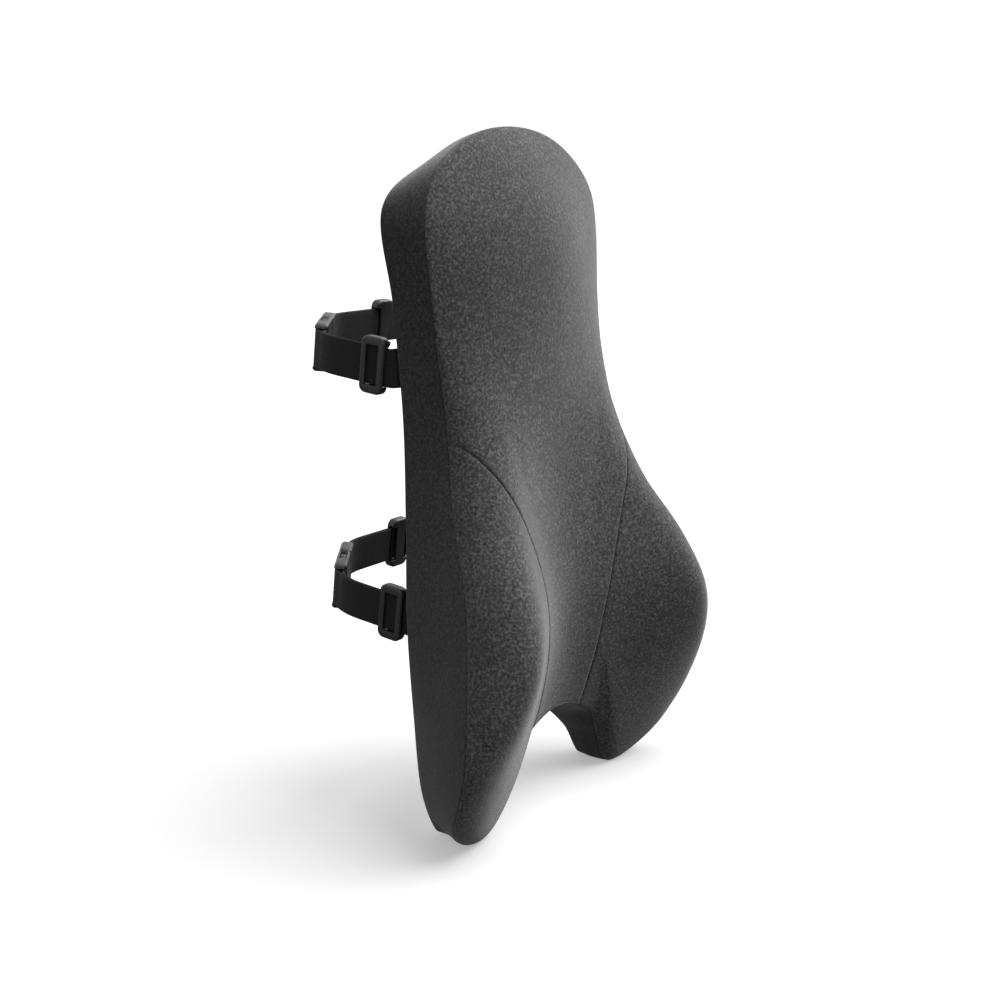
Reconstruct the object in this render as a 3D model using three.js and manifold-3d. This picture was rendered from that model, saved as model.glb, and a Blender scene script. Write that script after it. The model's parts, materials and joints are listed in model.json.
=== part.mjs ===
// Lumbar support cushion: a moulded foam core in a zipped knit cover, with two strap loops behind it.
// Millimetres. +X is the sitter's left, +Y points back towards the chair, +Z is up.
// The origin is on the floor that the two legs stand on, under the middle of the whole, loops included.
// The shapes are drawn with Y = 0 on the flat back face, and the whole is moved to the origin at the end.
import * as THREE from 'three';
import { ParametricGeometry } from 'three/addons/geometries/ParametricGeometry.js';
import { mergeVertices } from 'three/addons/utils/BufferGeometryUtils.js';
import Module from 'manifold-3d';

const wasm = await Module();
wasm.setup();

const BACK_FACE_Y = -8.1;         // where the flat back face lies in the finished part

// ---- driving dimensions of the body ----

// Half outline from the top middle down the side, round a leg and up to the top of the notch.
// The shoulder is where the side wall ends and the rounding of the front begins: x, depth, z.
const SHOULDER = [
  [0, 30, 460], [57, 30, 449], [96, 30, 414], [97, 30, 348], [92, 31, 275], [102, 39, 219],
  [120, 58, 164], [144, 68, 76], [128, 43, 20], [82, 29, 0], [60, 33, 31], [44, 38, 52], [0, 39, 67],
];
// The rim is the edge between the side wall and the flat back: x, z.
const RIM = [
  [0, 454], [57, 438], [102, 411], [98, 351], [96, 280], [101, 212],
  [107, 150], [107, 88], [104, 33], [88, 1], [69, 27], [41, 50], [0, 65],
];
// The front's depth on the middle line, and how far it rises (or falls) from there to the sides.
const FRONT = [
  { z: 460, depth: 42, rise: -12 }, { z: 402, depth: 55, rise: -23 }, { z: 316, depth: 52, rise: -16 },
  { z: 230, depth: 50, rise: 28 }, { z: 144, depth: 55, rise: 54 }, { z: 58, depth: 41, rise: 38 },
  { z: 0, depth: 30, rise: 30 },
];
const RISE_HALF_WIDTH = 115;      // the rise is reached this far from the middle line
const RISE_LIMIT = 1.35;          // and grows no more beyond this many half widths
const RISE_ROUNDNESS = 0.9;       // 0 would be a parabola across the front
const MIDDLE_Z = 165;             // every section turns about this point of the back face
const ROUNDING_START = 0.6;       // the rounding takes the outer 40% of each section
const AROUND = 64;                // sections round the outline

const COVER = 3;                  // thickness of the padded knit
const GAP = 0.3;                  // clearance between neighbouring pieces
const CORE_INSET = COVER + 1.4;   // the foam lies a little loose in its cover
const BACK_INSET = COVER + 2 * GAP;   // the back panels stop this far inside the rim
const FRONT_EDGE = 0.985;         // the side wall stops this share of the way to the front panels

// The seam between the centre panel and a wing panel, from the side wall down to the notch: x, z.
const WING_SEAM = [[140, 276], [110, 271], [93, 264], [68, 220], [48, 174], [38, 128], [34, 82], [32, 40]];
const SEAM_STEPS = 28;
const FAR = 220;                  // well outside the body

// ---- driving dimensions of the zip ----

const ZIP_BOTTOM = 92;
const ZIP_TOP = 402;
const SLOT_HALF_WIDTH = 13;       // opening between the two back panels
const TAPE_HALF_WIDTH = 12.6;
const TAPE_THICKNESS = 0.6;
const TAPE_DEPTH = 1.0;           // the tape's outer face lies this far below the back face
const COIL_WIDTH = 2.0;
const COIL_THICKNESS = 1.3;
const COIL_CENTRE_Y = -1.3;
const COIL_SPLIT = 0.4;           // half the gap between the two coils
const STOP_LENGTH = 4;
const SLIDER_LENGTH = 13;
const SLIDER_WIDTH = 9.4;
const SLIDER_Z = ZIP_TOP - 18;
const PLATE_OUT = [-0.35, 0.65];  // y of the slider's outer plate
const PLATE_IN = [-3.0, -2.2];    // y of its inner plate
const LUG_Y = 2.4;                // the pin that carries the pull
const LUG_Z = SLIDER_Z + 1.5;
const PIN_RADIUS = 0.6;
const PULL_LENGTH = 26;
const PULL_THICKNESS = 2;
const zipLength = ZIP_TOP - ZIP_BOTTOM;
const zipMiddle = (ZIP_TOP + ZIP_BOTTOM) / 2;

// ---- driving dimensions of the strap loops ----

const STRAP_HEIGHTS = { upper: 312, lower: 150 };
const LOOP_TILT = THREE.MathUtils.degToRad(10.5);   // the loops ride up a little towards the back
const HINGE_Y = 7;                // the loop swings about this line
const WEB_WIDTH = 25;
const PLY = 1.3;
const PLY_GAP = 0.3;              // between the two plies of a doubled stretch
const STRAP_X = 96;               // half the distance between the two ends of a loop
const LOOP_BACK_Y = 112;
const BUCKLE_ANGLE = THREE.MathUtils.degToRad(35);
const BUCKLE_BAR = new THREE.Vector2(-84, 76);   // centre of the socket's webbing bar
const BAR_SPACING = 50;           // from the socket's bar to the plug's bar
const BAR_RADIUS = 2.2;
const BAR_CLEARANCE = 0.4;
const WEB_WINDOW = WEB_WIDTH + 1; // every opening for the webbing is this high
const GLIDE_LENGTH = 19;
const GLIDE_HEIGHT = 37;
const GLIDE_PLATE = 1.7;
const GLIDE_CHANNEL = 3.5;        // room for a doubled webbing
const GLIDE_BAR = 4.6;            // width of each outer bar
const LEFT_GLIDE_Y = 20;
const RIGHT_GLIDE_X = 24;
const FOLD_OVERLAP = 1;           // the folded end and the single ply share this much at the adjuster
const PARTING = 9;                // the two plies part over this distance before a bar

// ---- driving dimensions of the buckle, along X from the socket's bar to the plug's bar ----

const SOCKET_START = -3.4;
const SOCKET_END = 31;            // the socket's mouth
const SOCKET_WIDTH = 32;
const SOCKET_THICKNESS = 8.6;
const SHELL_BEVEL = 1.4;
const CORNER = 3.5;
const BAR_WINDOW = 4.6;           // how far the webbing's window reaches past the bar's centre
const CAVITY_WIDTH = 25.4;
const CAVITY_THICKNESS = 4.6;
const CAVITY_DEPTH = 23;
const SIDE_SLOT_DEPTH = 19;
const PLUG_BASE_END = SOCKET_END + GAP;
const TONGUE_LENGTH = 17;
const TONGUE_WIDTH = 6;
const PRONG_THICKNESS = 3.8;
const PRONG_LENGTH = 18.5;

// ---- helpers: geometry in and out of the boolean library ----

function toSolid(geometry) {
  const bare = geometry.index ? geometry.clone() : geometry;
  bare.deleteAttribute('normal');
  bare.deleteAttribute('uv');
  const welded = mergeVertices(bare, 1e-3);
  const index = welded.index.array;
  const kept = [];
  for (let i = 0; i < index.length; i += 3) {
    const [a, b, c] = [index[i], index[i + 1], index[i + 2]];
    if (a !== b && b !== c && c !== a) kept.push(a, b, c);
  }
  return new wasm.Manifold(new wasm.Mesh({
    numProp: 3,
    vertProperties: Float32Array.from(welded.attributes.position.array),
    triVerts: Uint32Array.from(kept),
  }));
}

function toGeometry(solid) {
  const mesh = solid.getMesh();
  const geometry = new THREE.BufferGeometry();
  geometry.setAttribute('position', new THREE.BufferAttribute(mesh.vertProperties, 3));
  geometry.setIndex(new THREE.BufferAttribute(mesh.triVerts, 1));
  geometry.computeVertexNormals();
  return geometry;
}

function block(sizeX, sizeY, sizeZ, x = 0, y = 0, z = 0) {
  return toSolid(new THREE.BoxGeometry(sizeX, sizeY, sizeZ).translate(x, y, z));
}

function join(solids) {
  return solids.reduce((whole, solid) => whole.add(solid));
}

// A flat outline in X and Y, given a height in Z and centred on Z = 0.
function upright(shape, height, curveSegments = 6) {
  const geometry = new THREE.ExtrudeGeometry(shape, { depth: height, bevelEnabled: false, curveSegments });
  return geometry.translate(0, 0, -height / 2);
}

// A flat outline in X and Z, given a thickness in Y from yFront to yBack.
function facing(shape, yFront, yBack, bevel = 0) {
  const geometry = new THREE.ExtrudeGeometry(shape, {
    depth: yBack - yFront - 2 * bevel,
    bevelEnabled: bevel > 0,
    bevelThickness: bevel,
    bevelSize: bevel,
    bevelOffset: -bevel,
    bevelSegments: 1,
    curveSegments: 4,
  });
  return geometry.rotateX(Math.PI / 2).translate(0, yBack - bevel, 0);
}

function roundedRectangle(width, height, radius, centreX = 0, centreY = 0) {
  const [x, y] = [width / 2, height / 2];
  const shape = new THREE.Shape();
  shape.absarc(centreX + x - radius, centreY - y + radius, radius, -Math.PI / 2, 0);
  shape.absarc(centreX + x - radius, centreY + y - radius, radius, 0, Math.PI / 2);
  shape.absarc(centreX - x + radius, centreY + y - radius, radius, Math.PI / 2, Math.PI);
  shape.absarc(centreX - x + radius, centreY - y + radius, radius, Math.PI, 1.5 * Math.PI);
  shape.closePath();
  return shape;
}

// ---- the body's surface ----

function closedOutline(half) {
  const otherSide = half.slice(1, -1).reverse().map(([x, y, z]) => [-x, y, z]);
  const points = [...half, ...otherSide].map((p) => new THREE.Vector3(...p));
  return new THREE.CatmullRomCurve3(points, true, 'catmullrom', 0.5);
}

const shoulderLine = closedOutline(SHOULDER);
const rimLine = closedOutline(RIM.map(([x, z]) => [x, 0, z]));

// A point of an outline, moved in towards the middle of the body.
function inward(line, u, inset) {
  const point = line.getPoint(u % 1);
  const along = line.getTangent(u % 1).setY(0).normalize();
  return point.add(new THREE.Vector3(along.z, 0, -along.x).multiplyScalar(inset));
}

// A smooth curve through the stations of FRONT, for one of their values.
function frontValue(key, z) {
  const last = FRONT.length - 1;
  const i = THREE.MathUtils.clamp(FRONT.findIndex((station) => station.z <= z), 1, last);
  const slope = (k) => {
    const above = FRONT[Math.max(k - 1, 0)];
    const below = FRONT[Math.min(k + 1, last)];
    return (above[key] - below[key]) / (above.z - below.z);
  };
  const [a, b] = [FRONT[i - 1], FRONT[i]];
  const step = b.z - a.z;
  const t = THREE.MathUtils.clamp((z - a.z) / step, 0, 1);
  const [t2, t3] = [t * t, t * t * t];
  return (2 * t3 - 3 * t2 + 1) * a[key] + (t3 - 2 * t2 + t) * step * slope(i - 1)
    + (3 * t2 - 2 * t3) * b[key] + (t3 - t2) * step * slope(i);
}

function frontDepth(x, z) {
  const s2 = Math.min(Math.abs(x) / RISE_HALF_WIDTH, RISE_LIMIT) ** 2;
  return frontValue('depth', z) + frontValue('rise', z) * s2 * (1 + RISE_ROUNDNESS * (1 - s2));
}

// The stretches of a section, from the middle of the back out over the rim and in to the middle of the front.
const BACK = 0;
const SIDE = 1;
const ROUNDING = 2;
const CROWN = 3;

// One point of the body. u runs round the outline, and [stretch, t, side inset, depth inset] says where
// in the section the point lies, with t from 0 to 1 along the stretch.
function bodyPoint(u, [stretch, t, sideInset, depthInset], target) {
  const rim = inward(rimLine, u, sideInset);
  const shoulder = inward(shoulderLine, u, sideInset);
  if (stretch === BACK) {
    return target.set(rim.x * t, -depthInset, MIDDLE_Z + (rim.z - MIDDLE_Z) * t);
  }
  if (stretch === SIDE) {
    const y = -Math.max(shoulder.y * t, depthInset);
    return target.set(rim.x + (shoulder.x - rim.x) * t, y, rim.z + (shoulder.z - rim.z) * t);
  }
  const angle = stretch === ROUNDING ? t * Math.PI / 2 : Math.PI / 2;
  const inRounding = ROUNDING_START + (1 - ROUNDING_START) * Math.cos(angle);
  const scale = stretch === ROUNDING ? inRounding : ROUNDING_START * (1 - t);
  const x = shoulder.x * scale;
  const z = MIDDLE_Z + (shoulder.z - MIDDLE_Z) * scale;
  const rise = frontDepth(x, z) - depthInset - shoulder.y;
  return target.set(x, -(shoulder.y + rise * Math.sin(angle)), z);
}

// Points along one stretch, ready for bodyPoint.
function stretchOf(stretch, from, to, steps, sideInset, depthInset) {
  const points = [];
  for (let i = 0; i <= steps; i += 1) {
    const t = from + (to - from) * i / steps;
    points.push([stretch, t, sideInset, depthInset]);
  }
  return points;
}

// The closed skin that passes through the given section points, all the way round the body.
function skin(section) {
  const stacks = section.length - 1;
  const surface = (u, v, target) => bodyPoint(1 - u, section[Math.round(v * stacks)], target);
  return toSolid(new ParametricGeometry(surface, AROUND, stacks));
}

// ---- body pieces ----

function foamCore() {
  return skin([
    ...stretchOf(BACK, 0, 1, 3, CORE_INSET, CORE_INSET),
    ...stretchOf(SIDE, 0, 1, 4, CORE_INSET, CORE_INSET),
    ...stretchOf(ROUNDING, 0, 1, 6, CORE_INSET, CORE_INSET),
    ...stretchOf(CROWN, 0.25, 1, 3, CORE_INSET, CORE_INSET),
  ]);
}

function wholeFront() {
  return skin([
    ...stretchOf(CROWN, 1, 0.25, 3, COVER, COVER),
    ...stretchOf(ROUNDING, 1, 0, 6, COVER, COVER),
    ...stretchOf(ROUNDING, 0, 1, 6, 0, 0),
    ...stretchOf(CROWN, 0.25, 1, 3, 0, 0),
  ]);
}

function sideGusset() {
  return skin([
    ...stretchOf(SIDE, FRONT_EDGE, 0, 4, COVER, 0),
    ...stretchOf(SIDE, 0, FRONT_EDGE, 4, 0, 0),
    [SIDE, FRONT_EDGE, COVER, 0],
  ]);
}

function wholeBack() {
  return skin([
    ...stretchOf(BACK, 0, 1, 3, BACK_INSET, 0),
    ...stretchOf(BACK, 1, 0, 3, BACK_INSET, COVER),
  ]);
}

// Everything outside the wing seam on one side, moved out by half a gap or in by half a gap.
function wingRegion(side, shift) {
  const seam = new THREE.SplineCurve(WING_SEAM.map(([x, z]) => new THREE.Vector2(side * (x + shift), z)));
  const underside = -20;
  const shape = new THREE.Shape(seam.getPoints(SEAM_STEPS));
  shape.lineTo(side * WING_SEAM.at(-1)[0], underside);
  shape.lineTo(side * FAR, underside);
  shape.lineTo(side * FAR, WING_SEAM[0][1]);
  shape.closePath();
  return toSolid(facing(shape, -FAR, 20));
}

function backHalf(side) {
  const half = block(FAR, 20, 2 * FAR + 100, side * (FAR + GAP) / 2, 0, FAR);
  const slot = roundedRectangle(2 * SLOT_HALF_WIDTH, zipLength, 0.5, 0, zipMiddle);
  return wholeBack().intersect(half).subtract(toSolid(facing(slot, -10, 10)));
}

// ---- the zip ----

function zipTape(side) {
  const inner = COIL_SPLIT + COIL_WIDTH + GAP;
  const width = TAPE_HALF_WIDTH - inner;
  return block(width, TAPE_THICKNESS, zipLength - 1, side * (inner + width / 2),
    -TAPE_DEPTH - TAPE_THICKNESS / 2, zipMiddle);
}

function zipCoil(side) {
  const length = zipLength - 2 * (STOP_LENGTH + 2);
  const x = side * (COIL_SPLIT + COIL_WIDTH / 2);
  return block(COIL_WIDTH, COIL_THICKNESS, length, x, COIL_CENTRE_Y, zipMiddle);
}

function zipStop(end) {
  const width = 2 * (COIL_SPLIT + COIL_WIDTH) - 0.1;
  const z = zipMiddle + end * (zipLength / 2 - 1 - STOP_LENGTH / 2);
  return block(width, COIL_THICKNESS, STOP_LENGTH, 0, COIL_CENTRE_Y, z);
}

function zipSlider() {
  const outline = new THREE.Shape();
  const [w, l] = [SLIDER_WIDTH / 2, SLIDER_LENGTH / 2];
  outline.moveTo(-w * 0.75, -l);
  outline.lineTo(w * 0.75, -l);
  outline.quadraticCurveTo(w, 0, w, l * 0.5);
  outline.quadraticCurveTo(w * 0.6, l, 0, l);
  outline.quadraticCurveTo(-w * 0.6, l, -w, l * 0.5);
  outline.quadraticCurveTo(-w, 0, -w * 0.75, -l);
  const placed = ([from, to]) => toSolid(facing(outline, from, to).translate(0, 0, SLIDER_Z));
  // the thin web that parts the two coils joins the plates
  const webDepth = PLATE_OUT[0] - PLATE_IN[1] + 0.4;
  const web = block(0.5, webDepth, 7, 0, (PLATE_OUT[0] + PLATE_IN[1]) / 2, SLIDER_Z);
  // two ears hold the pin that carries the pull
  const earX = 2.1;
  const ears = [-1, 1].map((side) => block(0.9, 2.7, 4, side * earX, 1.85, LUG_Z));
  const pin = new THREE.CylinderGeometry(PIN_RADIUS, PIN_RADIUS, 2 * earX + 0.2, 12).rotateZ(Math.PI / 2);
  return join([placed(PLATE_OUT), placed(PLATE_IN), web, ...ears, toSolid(pin.translate(0, LUG_Y, LUG_Z))]);
}

function zipPull() {
  const halfEye = 1.35;
  const eyeTop = 1.2;
  const halfTab = 3.6;
  const [neckZ, flareZ, tabZ] = [-3.5, -6, -10];   // the narrow neck flares out into the tab
  const plate = new THREE.Shape();
  plate.moveTo(-halfEye, eyeTop);
  plate.lineTo(halfEye, eyeTop);
  plate.lineTo(halfEye, neckZ);
  plate.quadraticCurveTo(halfTab, flareZ, halfTab, tabZ);
  plate.lineTo(halfTab, -PULL_LENGTH + halfTab);
  plate.absarc(0, -PULL_LENGTH + halfTab, halfTab, 0, -Math.PI, true);
  plate.lineTo(-halfTab, tabZ);
  plate.quadraticCurveTo(-halfTab, flareZ, -halfEye, neckZ);
  plate.closePath();
  const body = facing(plate, LUG_Y - PULL_THICKNESS / 2, LUG_Y + PULL_THICKNESS / 2).translate(0, 0, LUG_Z);
  const eyeRadius = PIN_RADIUS + 0.15;
  const eye = new THREE.CylinderGeometry(eyeRadius, eyeRadius, 8, 16).rotateZ(Math.PI / 2);
  return toSolid(body).subtract(toSolid(eye.translate(0, LUG_Y, LUG_Z)));
}

// ---- the strap loops, drawn level round their own height and then tilted ----

// A band of webbing along flat points, whose half thickness may change on the way. With a round end, it
// closes in a half circle past its last point.
function band(points, halfThickness, roundEnd = false) {
  const last = points.length - 1;
  const along = points.map((_, i) => {
    const [before, after] = [points[Math.max(i - 1, 0)], points[Math.min(i + 1, last)]];
    return after.clone().sub(before).normalize();
  });
  const across = along.map((d) => new THREE.Vector2(-d.y, d.x));
  const side = (sign) => points.map((p, i) => p.clone().addScaledVector(across[i], sign * halfThickness(i)));
  const tip = [];
  const steps = roundEnd ? 8 : 0;
  for (let k = 1; k < steps; k += 1) {
    const angle = k * Math.PI / steps;
    tip.push(points[last].clone()
      .addScaledVector(across[last], halfThickness(last) * Math.cos(angle))
      .addScaledVector(along[last], halfThickness(last) * Math.sin(angle)));
  }
  return toSolid(upright(new THREE.Shape([...side(1), ...tip, ...side(-1).reverse()]), WEB_WIDTH));
}

// Webbing of one ply up to the adjuster, then two plies that part and meet again round the buckle's bar.
function webbing(singlePath, doubledPath) {
  const points = doubledPath.getPoints(9);
  const toBar = (i) => points.slice(i + 1).reduce((sum, p, k) => sum + p.distanceTo(points[i + k]), 0);
  const swell = (i) => THREE.MathUtils.smoothstep(PARTING - toBar(i), 0, PARTING);
  const eye = BAR_RADIUS + BAR_CLEARANCE;
  const inner = (i) => THREE.MathUtils.lerp(PLY_GAP / 2, eye, swell(i));
  const doubled = band(points, (i) => inner(i) + PLY, true).subtract(band(points, inner, true));
  return doubled.add(band(singlePath.getPoints(9), () => PLY / 2));
}

const alongBuckle = new THREE.Vector2(Math.cos(BUCKLE_ANGLE), Math.sin(BUCKLE_ANGLE));
const PLUG_BAR = BUCKLE_BAR.clone().addScaledVector(alongBuckle, BAR_SPACING);
const WEB_START_Y = HINGE_Y + 6;

function leftWebbing() {
  const reach = (BUCKLE_BAR.x + STRAP_X) / alongBuckle.x;
  const corner = BUCKLE_BAR.clone().addScaledVector(alongBuckle, -reach);
  const bendStart = 46;
  const single = new THREE.Path()
    .moveTo(-STRAP_X, WEB_START_Y)
    .lineTo(-STRAP_X, LEFT_GLIDE_Y + FOLD_OVERLAP);
  const doubled = new THREE.Path()
    .moveTo(-STRAP_X, LEFT_GLIDE_Y)
    .lineTo(-STRAP_X, bendStart)
    .quadraticCurveTo(corner.x, corner.y, BUCKLE_BAR.x, BUCKLE_BAR.y);
  return webbing(single, doubled);
}

function rightWebbing() {
  const reach = (LOOP_BACK_Y - PLUG_BAR.y) / alongBuckle.y;
  const corner = PLUG_BAR.clone().addScaledVector(alongBuckle, reach);
  // the far corner of the loop is one wide bend
  const single = new THREE.Path()
    .moveTo(STRAP_X, WEB_START_Y)
    .lineTo(STRAP_X, 58)
    .bezierCurveTo(STRAP_X, 90, 88, LOOP_BACK_Y, 52, LOOP_BACK_Y)
    .lineTo(RIGHT_GLIDE_X - FOLD_OVERLAP, LOOP_BACK_Y);
  const doubled = new THREE.Path()
    .moveTo(RIGHT_GLIDE_X, LOOP_BACK_Y)
    .lineTo(corner.x + 14, LOOP_BACK_Y)
    .quadraticCurveTo(corner.x, corner.y, PLUG_BAR.x, PLUG_BAR.y);
  return webbing(single, doubled);
}

// The sewn end: flat on the back panel, then bent out to where the loop begins.
function webbingEnd(side) {
  const bend = 5;
  const sewnLength = 32;
  const centreY = GAP + PLY / 2;
  const path = new THREE.Path()
    .moveTo(side * (STRAP_X - sewnLength), centreY)
    .lineTo(side * (STRAP_X - bend), centreY)
    .quadraticCurveTo(side * STRAP_X, centreY, side * STRAP_X, HINGE_Y - 0.5);
  return band(path.getPoints(8), () => PLY / 2);
}

// A tri-glide: two end blocks, two outer bars on one side of the webbing and a middle bar on the other.
// Drawn with the webbing running along X and its outer side towards +Y.
function triGlide() {
  const faceY = GLIDE_CHANNEL / 2 + GLIDE_PLATE;
  const outline = roundedRectangle(GLIDE_LENGTH, GLIDE_HEIGHT, 5);
  const ring = toSolid(facing(outline, -faceY, faceY, 1));
  const channel = block(GLIDE_LENGTH + 2, GLIDE_CHANNEL, WEB_WINDOW);
  const outerWindow = block(GLIDE_LENGTH - 2 * GLIDE_BAR, 2 * GLIDE_PLATE, WEB_WINDOW, 0, faceY, 0);
  // the inner side is open over both outer bars, which leaves the middle bar
  const innerWindows = [-1, 1].map((end) => {
    const x = end * (GLIDE_LENGTH / 2 - GLIDE_BAR / 2 + 1);
    return block(GLIDE_BAR + 2, 2 * GLIDE_PLATE, WEB_WINDOW, x, -faceY, 0);
  });
  const cuts = [channel, outerWindow, ...innerWindows];
  return cuts.reduce((solid, cut) => solid.subtract(cut), ring);
}

// The outer shape of half a buckle, from x = from to x = to.
function buckleShell(from, to, width) {
  const outline = roundedRectangle(to - from, width, CORNER, (from + to) / 2, 0);
  return toSolid(facing(outline, -SOCKET_THICKNESS / 2, SOCKET_THICKNESS / 2, SHELL_BEVEL));
}

function buckleBar(x) {
  const bar = new THREE.CylinderGeometry(BAR_RADIUS, BAR_RADIUS, WEB_WINDOW + 2, 14);
  return toSolid(bar.rotateX(Math.PI / 2).translate(x, 0, 0));
}

// The opening round a bar that the webbing goes through. The rest of the buckle lies towards facingX.
function barWindow(x, facingX) {
  const length = 12;
  return block(length, 2 * SOCKET_THICKNESS, WEB_WINDOW, x + facingX * (BAR_WINDOW - length / 2), 0, 0);
}

function socket() {
  const past = 1;                 // the cuts run out past the mouth
  const cavity = block(CAVITY_DEPTH + past, CAVITY_THICKNESS, CAVITY_WIDTH,
    SOCKET_END - (CAVITY_DEPTH - past) / 2, 0, 0);
  const sideSlots = block(SIDE_SLOT_DEPTH + past, PRONG_THICKNESS + 0.8, SOCKET_WIDTH + 4,
    SOCKET_END - (SIDE_SLOT_DEPTH - past) / 2, 0, 0);
  return buckleShell(SOCKET_START, SOCKET_END, SOCKET_WIDTH).subtract(barWindow(0, 1))
    .subtract(cavity).subtract(sideSlots).add(buckleBar(0));
}

function plug() {
  const tongue = block(TONGUE_LENGTH + 1, PRONG_THICKNESS, TONGUE_WIDTH,
    PLUG_BASE_END - (TONGUE_LENGTH - 1) / 2, 0, 0);
  return buckleShell(PLUG_BASE_END, BAR_SPACING - SOCKET_START, SOCKET_WIDTH - 1)
    .subtract(barWindow(BAR_SPACING, -1)).add(buckleBar(BAR_SPACING)).add(tongue);
}

// A spring arm of the plug: a straight root, a head that fills the socket's side window, and a rounded tip.
function prong(side) {
  const outline = new THREE.Shape();
  const root = SOCKET_END - GAP;
  const tip = SOCKET_END - PRONG_LENGTH;
  outline.moveTo(root, side * 6.6);
  outline.lineTo(root, side * 10.6);
  outline.lineTo(SOCKET_END - 6, side * 11.2);
  outline.quadraticCurveTo(SOCKET_END - 7, side * 15.8, SOCKET_END - 11, side * 15.8);
  outline.quadraticCurveTo(tip + 1, side * 15.6, tip, side * 10.4);
  outline.quadraticCurveTo(SOCKET_END - 14, side * 8.2, SOCKET_END - 8, side * 7.8);
  outline.closePath();
  return toSolid(facing(outline, -PRONG_THICKNESS / 2, PRONG_THICKNESS / 2));
}

// ---- assembly ----

const object = new THREE.Group();
const drawn = new THREE.Group();
drawn.position.y = BACK_FACE_Y;
object.add(drawn);

const FINISHES = {
  foam: { color: 0xd9d2bd, roughness: 0.95, metalness: 0 },
  knit: { color: 0x3a3a3c, roughness: 0.95, metalness: 0 },
  gusset: { color: 0x2f2f31, roughness: 0.9, metalness: 0 },
  webbing: { color: 0x1b1b1c, roughness: 0.85, metalness: 0 },
  plastic: { color: 0x2b2b2d, roughness: 0.4, metalness: 0 },
  coil: { color: 0x1e1e20, roughness: 0.5, metalness: 0 },
  metal: { color: 0x3b3b3e, roughness: 0.35, metalness: 0.9 },
};

function add(parent, name, solid, finish) {
  const mesh = new THREE.Mesh(toGeometry(solid), new THREE.MeshStandardMaterial(FINISHES[finish]));
  mesh.name = name;
  parent.add(mesh);
  return mesh;
}

function addBody() {
  const front = wholeFront();
  const wings = { left: -1, right: 1 };
  let centre = front;
  add(drawn, 'foam_core', foamCore(), 'foam');
  for (const [name, side] of Object.entries(wings)) {
    add(drawn, `cover_wing_${name}`, front.intersect(wingRegion(side, GAP / 2)), 'knit');
    centre = centre.subtract(wingRegion(side, -GAP / 2));
    add(drawn, `cover_back_${name}`, backHalf(side), 'gusset');
  }
  add(drawn, 'cover_centre_panel', centre, 'knit');
  add(drawn, 'cover_side_gusset', sideGusset(), 'gusset');
}

function addZip() {
  for (const [name, side] of Object.entries({ left: -1, right: 1 })) {
    add(drawn, `zip_tape_${name}`, zipTape(side), 'webbing');
    add(drawn, `zip_coil_${name}`, zipCoil(side), 'coil');
  }
  add(drawn, 'zip_stop_top', zipStop(1), 'metal');
  add(drawn, 'zip_stop_bottom', zipStop(-1), 'metal');
  add(drawn, 'zip_slider', zipSlider(), 'metal');
  add(drawn, 'zip_pull', zipPull(), 'metal');
}

function addStrapLoop(level, height) {
  const ends = new THREE.Group();
  ends.position.z = height;
  drawn.add(ends);
  add(ends, `${level}_webbing_end_left`, webbingEnd(-1), 'webbing');
  add(ends, `${level}_webbing_end_right`, webbingEnd(1), 'webbing');

  // everything below swings with the loop, so it hangs in a group turned about the hinge line
  const tilted = new THREE.Group();
  tilted.position.set(0, HINGE_Y, height);
  tilted.rotation.x = LOOP_TILT;
  drawn.add(tilted);
  const loop = new THREE.Group();
  loop.position.y = -HINGE_Y;
  tilted.add(loop);

  add(loop, `${level}_webbing_left`, leftWebbing(), 'webbing');
  add(loop, `${level}_webbing_right`, rightWebbing(), 'webbing');

  const buckle = new THREE.Group();
  buckle.position.set(BUCKLE_BAR.x, BUCKLE_BAR.y, 0);
  buckle.rotation.z = BUCKLE_ANGLE;
  loop.add(buckle);
  add(buckle, `${level}_buckle_socket`, socket(), 'plastic');
  add(buckle, `${level}_buckle_plug`, plug(), 'plastic');
  add(buckle, `${level}_prong_top`, prong(1), 'plastic');
  add(buckle, `${level}_prong_bottom`, prong(-1), 'plastic');

  const leftGlide = add(loop, `${level}_glide_left`, triGlide(), 'plastic');
  leftGlide.position.set(-STRAP_X, LEFT_GLIDE_Y, 0);
  leftGlide.rotation.z = Math.PI / 2;
  const rightGlide = add(loop, `${level}_glide_right`, triGlide(), 'plastic');
  rightGlide.position.set(RIGHT_GLIDE_X, LOOP_BACK_Y, 0);
}

addBody();
addZip();
for (const [level, height] of Object.entries(STRAP_HEIGHTS)) addStrapLoop(level, height);

export default object;
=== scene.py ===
"""Lumbar support cushion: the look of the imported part. Metres, in the part's own frame.

+X is the sitter's left, +Y points back towards the chair, +Z is up. Lengths that describe the fabric are
written in millimetres, as they are in the part's source, and become metres when a mesh is made.
"""

import json
import math

import bmesh
import bpy
import numpy as np
from mathutils import Matrix, Vector, noise
from mathutils.kdtree import KDTree

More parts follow.
